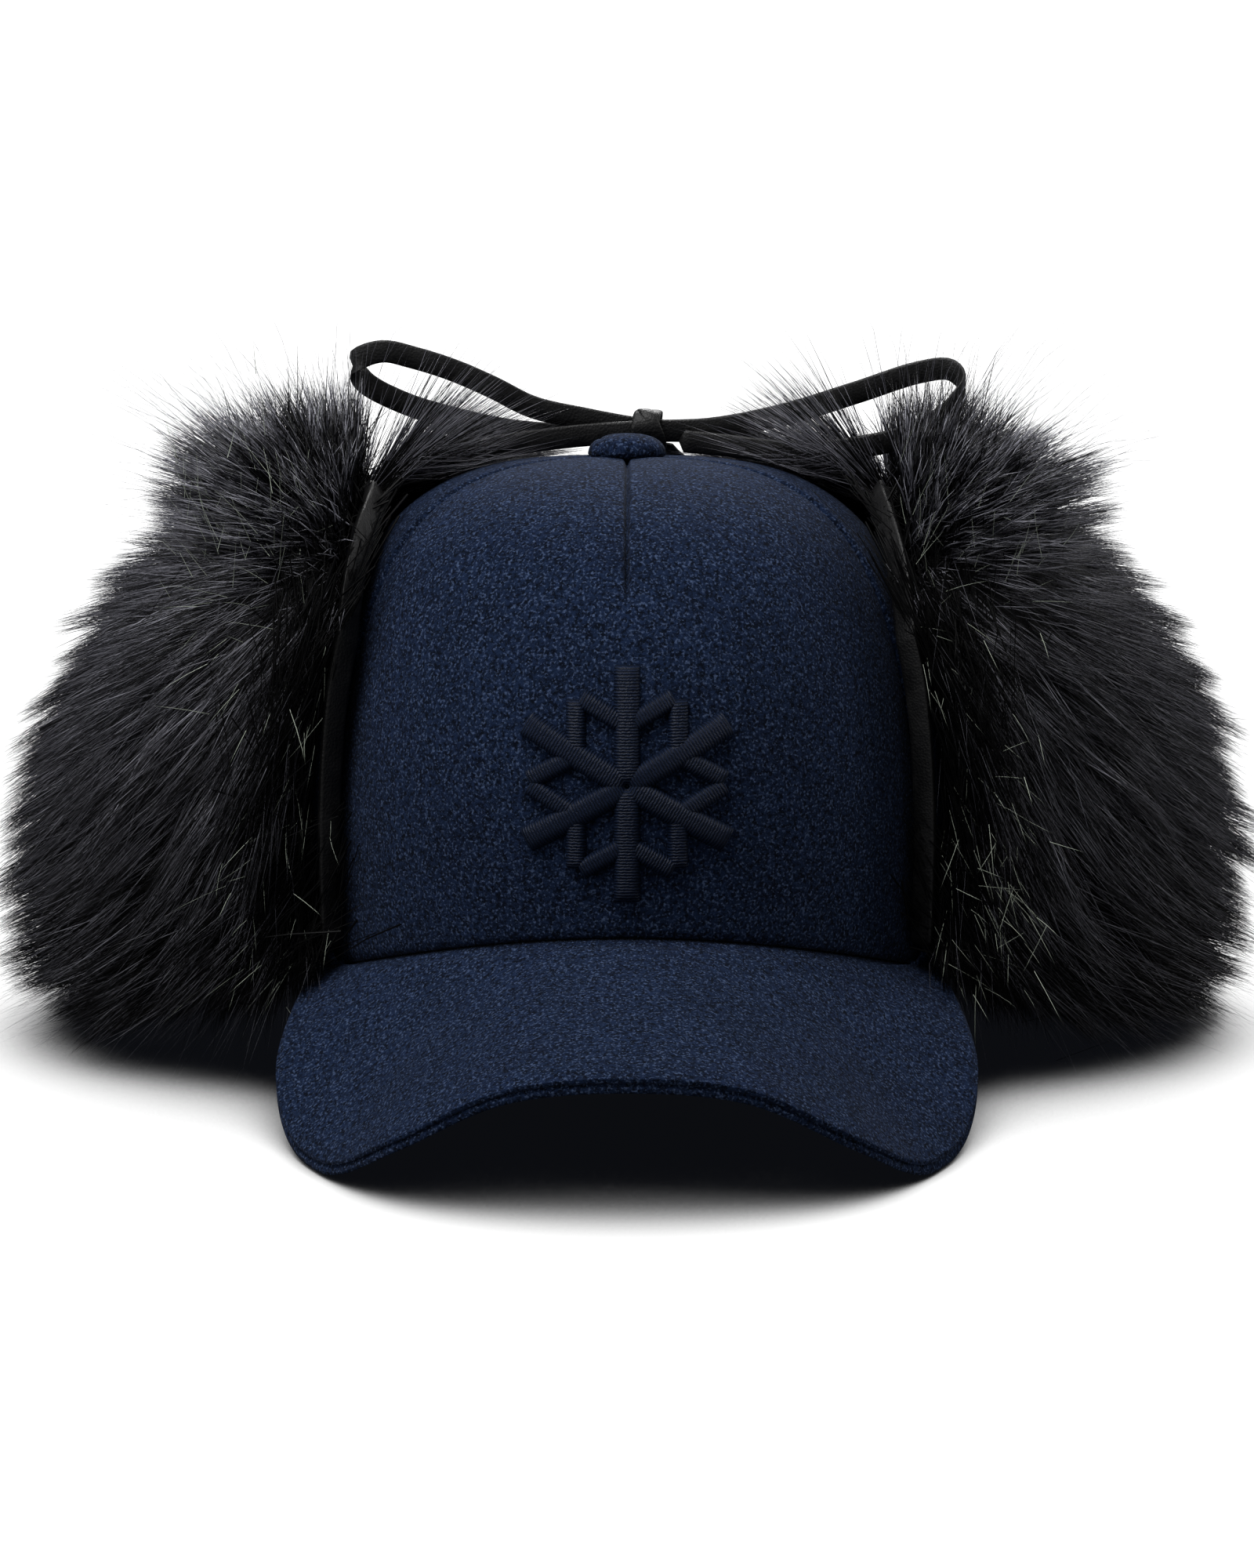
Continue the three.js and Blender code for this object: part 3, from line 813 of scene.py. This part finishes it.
for hand, side in SIDES.items():
    flap_cloth(f"ear_flap_cloth_{hand}", EAR_FLAP, side, f"ear_flap_{hand}")
    flap_binding(f"ear_flap_binding_{hand}", EAR_FLAP, side, f"ear_flap_{hand}")
    lace_tab(f"lace_tab_{hand}", side, f"ear_flap_{hand}")
    fold_strip(f"ear_flap_fold_cloth_{hand}", EAR_FLAP, side)
flap_cloth("neck_flap_cloth", NECK_FLAP, 1, "neck_flap")
flap_binding("neck_flap_binding", NECK_FLAP, 1, "neck_flap")
fold_strip("neck_flap_fold_cloth", NECK_FLAP, 1)


# ---- Fur ----
chance = np.random.default_rng(11)
HAIR_LIMITS = ((158, 13), (156, 10), (176, 13))  # for x, y and z: where reining in starts, and its most
CLEAR_OF_FLAP = 1.11  # how far hair keeps out from the crown's middle, as a share of the crown there
CLEAR_OF_CROWN = 1.035
OVER_FLAP = 9.5  # how high hair lies over a flap's tip and over the dome
OVER_CROWN = 1.2
EAR_FLAP_TOP = 142
NECK_FLAP_TOP = 92
LOCKS = 620
STRAYS = 2600
# Sprays and loose hairs of painted glints beside the crown.
SPRAYS = 20
SPRAY_HAIRS = 280
LOOSE_GLINT_HAIRS = 90
TIP_HAIRS = 7000


def pelt_core(node, name, body):
    """The knitted ground and packed underwool of a flap's fur: its solid, pulled in under the hair, dark by
    its own colour and by painted shade deep in the pile.
    """
    bm = bmesh.new()
    bm.from_mesh(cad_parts[node].data)
    bmesh.ops.remove_doubles(bm, verts=bm.verts, dist=1e-5)
    bmesh.ops.subdivide_edges(bm, edges=bm.edges, cuts=2, use_grid_fill=True)
    for _ in range(4):
        bmesh.ops.smooth_vert(
            bm, verts=bm.verts, factor=0.5, use_axis_x=True, use_axis_y=True, use_axis_z=True
        )
    bm.normal_update()
    for vert in bm.verts:
        vert.co -= vert.normal * 0.0075
        vert.co.z = max(vert.co.z, 0.004)
    pelt = sew_in(bm, name, body, [ground_and_pile_shade], [node])


def pelt_surface(node):
    """The triangles of a fur solid in millimetres round the crown, their corners' normals and areas."""
    bm = bmesh.new()
    bm.from_mesh(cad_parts[node].data)
    bmesh.ops.remove_doubles(bm, verts=bm.verts, dist=1e-5)
    bmesh.ops.triangulate(bm, faces=bm.faces)
    bm.normal_update()
    middle = Vector((0, CROWN_MIDDLE_Y / 1000, 0))
    corners = np.array([[(v.co - middle) * 1000 for v in f.verts] for f in bm.faces])
    normals = np.array([[v.normal for v in f.verts] for f in bm.faces])
    areas = np.array([f.calc_area() for f in bm.faces])
    flat = np.array([f.normal for f in bm.faces])
    bm.free()
    outward = corners.mean(axis=1) * (1, 1, 0)
    outward /= np.linalg.norm(outward, axis=1)[:, None]
    faces_crown = (flat * outward).sum(axis=1) < -0.45
    on_table = (flat[:, 2] < -0.8) & (corners[:, :, 2].max(axis=1) < 6)
    areas[faces_crown] = 0
    areas[on_table] *= 0.25
    return corners, normals, areas


def scatter(surface, count):
    """Places spread over a pelt, and the pelt's outward direction at each."""
    corners, normals, areas = surface
    picked = chance.choice(len(areas), size=count, p=areas / areas.sum())
    a, b = chance.random((2, count))
    a, b = np.where(a + b > 1, 1 - a, a), np.where(a + b > 1, 1 - b, b)
    shares = np.stack([1 - a - b, a, b], axis=1)[:, :, None]
    places = (corners[picked] * shares).sum(axis=1)
    outward = (normals[picked] * shares).sum(axis=1)
    return places, unit(outward)


def unit(vectors):
    return vectors / np.maximum(np.linalg.norm(vectors, axis=-1, keepdims=True), 1e-9)


def ease_each(low, high, values):
    share = np.clip((values - low) / (high - low), 0, 1)
    return share * share * (3 - 2 * share)


def ear_comb(places, outward, side):
    """Which way an ear flap's hair is combed: away from the crown, up at the tip, drooping at the side."""
    height = places[:, 2]
    anchor = np.stack(
        [
            np.full(len(places), 70.0 * side),
            6 + places[:, 1] * 0.6,
            30 + 92 * ease_each(16, 70, height),
        ],
        axis=1,
    )
    away = unit(places - anchor)
    return unit(away + outward * 0.2 + np.array((0.1 * side, 0, -0.12)))


def shaded_comb(places, outward, side):
    """The hair right beside the crown: hanging down in front and behind, standing up at the tip."""
    down = np.array((0.5 * side, 0, -0.75)) + outward * 0.3
    down[:, 1] += np.where(places[:, 1] < 0, -0.3, 0.3)
    over = np.array((0.15 * side, 0, 0.9)) + outward * 0.15
    share = ease_each(100, 138, places[:, 2])[:, None]
    return unit(down * (1 - share) + over * share)


def neck_comb(places, outward, side):
    count = len(places)
    anchor = np.stack([places[:, 0] * 0.6, np.full(count, 98.0), np.full(count, 62.0)], axis=1)
    away = unit(places - anchor)
    return unit(away * 0.8 + outward * 0.45 + np.array((0, 0.15, -0.15)))


def rein_in(distances, start, most):
    """Shortens what reaches past start, so that it never passes start by more than most."""
    past = np.maximum(np.abs(distances) - start, 0)
    return np.sign(distances) * (np.minimum(np.abs(distances), start) + most * np.tanh(past / most))


def keep_clear(points):
    """Pushes hair out of the crown and the flaps' cloth, and up off the table."""
    x, y, z = points[..., 0], points[..., 1], points[..., 2]
    angle = np.arctan2(x / HALF_WIDTH, -y / HALF_LENGTH)
    rim = BACK_RIM + RIM_RISE * ((1 + np.cos(angle)) / 2) ** 2
    side = np.sin(angle) ** 2
    power = side * SIDE_POWER + (1 - side) * np.where(np.cos(angle) > 0, FRONT_POWER, BACK_POWER)
    rise = np.clip((z - rim) / (TOP - TOP_SLOPE * y - rim), 0, 0.999)
    turned = np.degrees(np.abs(angle))
    on_ear_flap = (np.abs(turned - EAR_FLAP["centre"]) < EAR_FLAP["half"] - 1) & (z < EAR_FLAP_TOP)
    on_neck_flap = (turned > NECK_FLAP["centre"] - NECK_FLAP["half"] + 1) & (z < NECK_FLAP_TOP)
    spare = np.where(on_ear_flap | on_neck_flap, CLEAR_OF_FLAP, CLEAR_OF_CROWN)
    needed = (1 - rise**power) ** (1 / power) * spare
    found = np.hypot(x / HALF_WIDTH, y / HALF_LENGTH)
    beside = (found > 0.85) | (z < 115)
    push = np.where((found < needed) & beside, needed / np.maximum(found, 0.3), 1)
    dome = rim + (TOP - TOP_SLOPE * y - rim) * (1 - np.minimum(found, 0.999) ** power) ** (1 / power)
    over_cloth = (np.abs(turned - EAR_FLAP["centre"]) < EAR_FLAP["half"]) & (np.abs(x) > 47)
    floor = dome + np.where(over_cloth, OVER_FLAP, OVER_CROWN)
    z = np.where(~beside & (z < floor), floor + 1.5 * chance.random(z.shape), z)
    points[..., 0] = rein_in(x * push, *HAIR_LIMITS[0])
    points[..., 1] = rein_in(y * push, *HAIR_LIMITS[1])
    low = 0.35 + 1.6 * chance.random(z.shape)
    points[..., 2] = rein_in(np.where(z < low, low, z), *HAIR_LIMITS[2])
    return points


def comb_hair(places, outward, comb, side, lengths, droop, spread, back, tufts=None):
    """The route of each hair as four points, gathered towards the tips of the tufts."""
    lean = unit(comb(places, outward, side) + chance.normal(0, spread, places.shape))
    roots = places - lean * (lengths * back)[:, None]
    steps = np.array([0, *HAIR_CUTS, 1.0])[None, :, None]
    reach = lengths[:, None, None]
    routes = roots[:, None, :] + lean[:, None, :] * steps * reach
    routes[:, :, 2] -= droop * steps[:, :, 0] ** 2 * lengths[:, None]
    curl = chance.normal(0, 0.05, places.shape)[:, None, :] * steps**2 * reach
    routes += curl
    if tufts is not None:
        centres, tips = tufts
        nearest = np.empty(len(places), int)
        for start in range(0, len(places), 2000):
            gaps = places[start : start + 2000, None, :] - centres[None, :, :]
            nearest[start : start + 2000] = (gaps**2).sum(axis=2).argmin(axis=1)
        pull = (tips[nearest] - routes[:, -1]) * GATHER
        routes += pull[:, None, :] * steps**1.7
    return routes


def hair_template():
    """One tapering three-sided hair of length and radius 1, pointing up, cut where it may bend."""
    bm = bmesh.new()
    bmesh.ops.create_cone(bm, cap_ends=False, segments=3, radius1=1, radius2=0, depth=1)
    bmesh.ops.translate(bm, verts=bm.verts, vec=(0, 0, 0.5))
    bmesh.ops.remove_doubles(bm, verts=bm.verts, dist=1e-5)
    for height in HAIR_CUTS:
        everything = [*bm.verts, *bm.edges, *bm.faces]
        bmesh.ops.bisect_plane(bm, geom=everything, plane_co=(0, 0, height), plane_no=(0, 0, 1))
    bmesh.ops.triangulate(bm, faces=bm.faces)
    bmesh.ops.recalc_face_normals(bm, faces=bm.faces)
    bm.verts.index_update()
    points = np.array([v.co for v in bm.verts])
    faces = np.array([[v.index for v in f.verts] for f in bm.faces])
    bm.free()
    return points, faces


def grow_hair(name, body, routes, thickness, roots_finish, tips_finish=None):
    """Grows one hair along each route, in two colours if it has a finish for the tips as well."""
    points, faces = hair_template()
    levels = np.array([0, *HAIR_CUTS, 1])
    level = np.abs(points[:, 2:3] - levels[None, :]).argmin(axis=1)
    fullness = np.array(HAIR_SWELL)[level]
    kept = off_the_edge(routes)
    routes, thickness = keep_clear(routes[kept]), thickness[kept]
    along = unit(routes[:, -1] - routes[:, 0])
    first = unit(np.cross(along, chance.normal(0, 1, along.shape)))
    second = np.cross(along, first)
    spread = thickness[:, None, None] / 2 * fullness[None, :, None]
    corners = routes[:, level, :]
    corners = corners + first[:, None, :] * points[None, :, 0:1] * spread
    corners = corners + second[:, None, :] * points[None, :, 1:2] * spread
    corners = (corners + np.array((0, CROWN_MIDDLE_Y, 0))) / 1000
    corners[..., 2] = np.maximum(corners[..., 2], 0.0001)
    triangles = faces[None, :, :] + (np.arange(len(routes)) * len(points))[:, None, None]
    mesh = bpy.data.meshes.new(name)
    corners = corners.reshape(-1, 3)
    triangles = triangles.reshape(-1, 3)
    mesh.vertices.add(len(corners))
    mesh.vertices.foreach_set("co", corners.astype(np.float32).ravel())
    mesh.loops.add(triangles.size)
    mesh.loops.foreach_set("vertex_index", triangles.astype(np.int32).ravel())
    mesh.polygons.add(len(triangles))
    mesh.polygons.foreach_set("loop_start", np.arange(0, triangles.size, 3, dtype=np.int32))
    mesh.materials.append(roots_finish)
    if tips_finish is not None:
        mesh.materials.append(tips_finish)
        is_tip = (points[faces][:, :, 2].mean(axis=1) > 0.3).astype(np.int32)
        mesh.polygons.foreach_set("material_index", np.tile(is_tip, len(routes)))
    mesh.update(calc_edges=True)
    mesh.shade_smooth()
    hair = bpy.data.objects.new(name, mesh)
    bpy.context.scene.collection.objects.link(hair)
    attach(hair, body)


def off_the_edge(routes):
    """Which hairs stay off the front of the crown and the flap's leather edge beside it."""
    x, y, z = routes[..., 0], routes[..., 1], routes[..., 2]
    rise = np.clip((z - BACK_RIM) / (TOP - BACK_RIM), 0, 0.999)
    outline = HALF_WIDTH * (1 - rise**SIDE_POWER) ** (1 / SIDE_POWER)
    over = (np.abs(x) < 0.93 * outline + 4) & (y < 14) & (z > 74) & (z < TOP)
    return ~over.any(axis=1)


def crown_gap(places):
    """How far a place stands out from the crown's widest outline, in millimetres."""
    found = np.hypot(places[:, 0] / HALF_WIDTH, places[:, 1] / HALF_LENGTH)
    return (found - 1) * HALF_WIDTH


def how_deep(gap, height):
    """The share of a hair's length within the pelt: least at the flap's tip, where hair stands up."""
    standing = ease_each(122, 146, height) * (1 - ease_each(14, 44, gap))
    return 0.87 + 0.1 * ease_each(80, 112, height) - 0.62 * standing


def furry_flap(tag, node, body, comb, side, batches, per_batch, length):
    """All the hair of one flap: combed locks, loose guard hairs, black hair beside the crown and low down
    as painted shade, and pale hairs beside the crown as painted glints.
    """
    pelt_core(node, f"{tag}_pelt", body)
    surface = pelt_surface(node)
    lock_places, lock_outward = scatter(surface, LOCKS)
    lock_lean = unit(comb(lock_places, lock_outward, side) + chance.normal(0, 0.27, lock_places.shape))
    lock_tips = lock_places + lock_lean * (length * chance.uniform(0.0, 0.34, (LOCKS, 1)))
    tufts = (lock_places, lock_tips)
    for batch in range(batches):
        places, outward = scatter(surface, per_batch)
        gap, height = crown_gap(places), places[:, 2]
        # Painted shade: hair near the crown is black, in a band widest low down and thinnest at the top.
        shaded = 3 + 11 * (1 - ease_each(75, 125, height))
        dark = chance.random(per_batch) > ease_each(0, 18, gap - shaded)
        dark &= chance.random(per_batch) > 0.8 * ease_each(108, 134, height)
        lengths = length * chance.uniform(0.7, 1.2, per_batch)
        back = how_deep(gap, height)
        thickness = chance.uniform(0.26, 0.3 + 0.13 * (batch + 1), per_batch)
        # Painted shade: low down, more hair is plain black, darker towards the bottom.
        low = (1 - ease_each(12, 80, height)) * 0.75
        fair = ~dark
        plain = fair & (chance.random(per_batch) < low)
        fair &= ~plain
        routes = comb_hair(
            places[fair], outward[fair], comb, side, lengths[fair], 0.12, 0.12, back[fair], tufts
        )
        grow_hair(f"{tag}_hair_{batch + 1}", body, routes, thickness[fair], black_fur, tip_shades[batch])
        routes = [
            comb_hair(
                places[plain], outward[plain], comb, side, lengths[plain], 0.12, 0.12, back[plain], tufts
            )
        ]
        if dark.any():
            short = lengths[dark] * 0.7
            routes.append(
                comb_hair(
                    places[dark], outward[dark], shaded_comb, side, short, 0.1, 0.3, back[dark] * 0.85
                )
            )
        thickness = np.concatenate([thickness[plain], thickness[dark]])
        grow_hair(f"{tag}_painted_shade_hair_{batch + 1}", body, np.vstack(routes), thickness, black_fur)
    places, outward = scatter(surface, STRAYS)
    lengths = length * chance.uniform(0.9, 1.4, STRAYS)
    back = how_deep(crown_gap(places), places[:, 2]) - 0.14
    routes = comb_hair(places, outward, comb, side, lengths, 0.1, 0.2, back)
    grow_hair(f"{tag}_guard_hair", body, routes, chance.uniform(0.13, 0.2, STRAYS), black_fur, ash_fur)
    painted_glint_hairs(tag, body, surface, side)


def painted_glint_hairs(tag, body, surface, side):
    """Painted glints: short pale hairs in small sprays, standing for the shine on the guard hairs in the
    dark fur beside the crown.
    """
    places, outward = scatter(surface, 4000)
    near = (crown_gap(places) < 30) & (np.abs(outward[:, 1]) > 0.35) & (places[:, 2] > 14)
    sprays, spray_outward = places[near][:SPRAYS], outward[near][:SPRAYS]
    rest = slice(SPRAYS, SPRAYS + LOOSE_GLINT_HAIRS)
    loose, loose_outward = places[near][rest], outward[near][rest]
    if not len(sprays):
        return
    picked = chance.integers(0, len(sprays), SPRAY_HAIRS)
    places = sprays[picked] + chance.normal(0, 1, (SPRAY_HAIRS, 3)) * (5.0, 1.5, 11.0)
    places = np.vstack([places, loose])
    outward = np.vstack([spray_outward[picked], loose_outward])
    count = len(places)
    lengths = chance.uniform(4, 17, count)
    routes = comb_hair(places, outward, shaded_comb, side, lengths, 0.05, 0.42, -0.1)
    grow_hair(f"{tag}_bright_hair", body, routes, chance.uniform(0.09, 0.19, count), painted_glint_hair)


def hair_over_tip(tag, body, side):
    """Hair from the flap's tip standing up and in over the top of the crown, behind and under the laces."""
    count = TIP_HAIRS
    u = chance.uniform(0.74, 1.02, count)
    w = chance.uniform(-0.2, 0.8, count)
    places = np.array([flap_point(EAR_FLAP, side, *at, 2.5) for at in zip(u, w)])
    outward = np.tile(np.array((0.0, 0.0, 1.0)), (count, 1))
    lengths = chance.uniform(28, 62, count)

    def inward(places, outward, side):
        lift = chance.uniform(0.0, 1.25, len(places)) ** 1.4
        lean = np.stack([np.full(len(places), -1.0 * side), 0.1 - places[:, 1] * 0.012, lift], axis=1)
        return unit(lean)

    routes = comb_hair(places, outward, inward, side, lengths, 0.12, 0.14, 0.05)
    half = count // 2
    grow_hair(f"{tag}_tip_hair_1", body, routes[:half], chance.uniform(0.2, 0.4, half), black_fur, ash_fur)
    grow_hair(f"{tag}_tip_hair_2", body, routes[half:], chance.uniform(0.2, 0.4, half), black_fur)


for hand, side in SIDES.items():
    furry_flap(
        f"ear_fur_{hand}", f"ear_flap_fur_{hand}", f"ear_flap_{hand}", ear_comb, side, 4, 9700, 54
    )
    hair_over_tip(f"ear_fur_{hand}", f"ear_flap_{hand}", side)
furry_flap("neck_fur", "neck_flap_fur", "neck_flap", neck_comb, 1, 4, 4200, 40)


# ---- Hidden stiffeners and rivet keep their own shape ----
for node, made_of in (
    ("front_buckram", buckram),
    ("visor_board", visor_core),
    ("button_rivet", steel),
):
    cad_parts[node].data.materials.clear()
    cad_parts[node].data.materials.append(made_of)


# ---- Table and light ----
def table_top():
    """A clear table with a painted shadow: darker under the hat where ambient occlusion finds it closed in,
    not cast by the lamps, so that let-down flaps show below it.
    """
    bm = bmesh.new()
    bmesh.ops.create_grid(bm, x_segments=1, y_segments=1, size=9)
    mesh = bpy.data.meshes.new("table")
    bm.to_mesh(mesh)
    bm.free()
    table = bpy.data.objects.new("table", mesh)
    bpy.context.scene.collection.objects.link(table)
    finish, tree = new_finish("clear studio table with painted shadow")
    # Painted shadow: the table darkens by ambient occlusion under the hat.
    open_sky = add(tree, "ShaderNodeAmbientOcclusion", {"Distance": 0.2}, samples=24)
    light = add(
        tree,
        "ShaderNodeMapRange",
        {0: open_sky.outputs["AO"], 1: 0.2, 2: 0.9, 3: 0.0, 4: 1.0},
        interpolation_type="SMOOTHSTEP",
    )
    shade = tint(tree, light.outputs[0], linear("#090a0d"), linear("#ffffff"))
    clear = add(tree, "ShaderNodeBsdfTransparent", {"Color": shade})
    add(tree, "ShaderNodeOutputMaterial", {"Surface": clear.outputs[0]})
    mesh.materials.append(finish)


def soft_light(name, place, aim, size, power):
    lamp = bpy.data.lights.new(name, "AREA")
    lamp.shape = "DISK"
    lamp.size = size
    lamp.energy = power
    light = bpy.data.objects.new(name, lamp)
    bpy.context.scene.collection.objects.link(light)
    light.location = place
    light.rotation_euler = (Vector(aim) - Vector(place)).to_track_quat("-Z", "Y").to_euler()


def white_studio():
    """A white room: it looks white to the eye, and lights the hat more softly than the lamps do."""
    world = bpy.data.worlds.new("white studio")
    world.use_nodes = True
    tree = world.node_tree
    tree.nodes.clear()
    seen = add(tree, "ShaderNodeLightPath").outputs["Is Camera Ray"]
    strength = ramp(tree, seen, 0.0, 1.0, 0.22, 1.3)
    room = add(tree, "ShaderNodeBackground", {"Color": (1, 1, 1, 1), "Strength": strength})
    add(tree, "ShaderNodeOutputWorld", {"Surface": room.outputs[0]})
    bpy.context.scene.world = world


table_top()
white_studio()
soft_light("overhead softbox", (-0.4, -0.35, 1.5), (0, 0, 0.08), 0.9, 24)
soft_light("left softbox", (-1.5, -1.0, 0.8), (0, 0, 0.08), 0.8, 7)
soft_light("right softbox", (1.7, 0.3, 1.0), (0, 0, 0.1), 0.5, 9)
soft_light("rear softbox", (0.2, 1.5, 1.1), (0, 0, 0.1), 0.9, 25)
bpy.context.scene.view_settings.view_transform = "Standard"
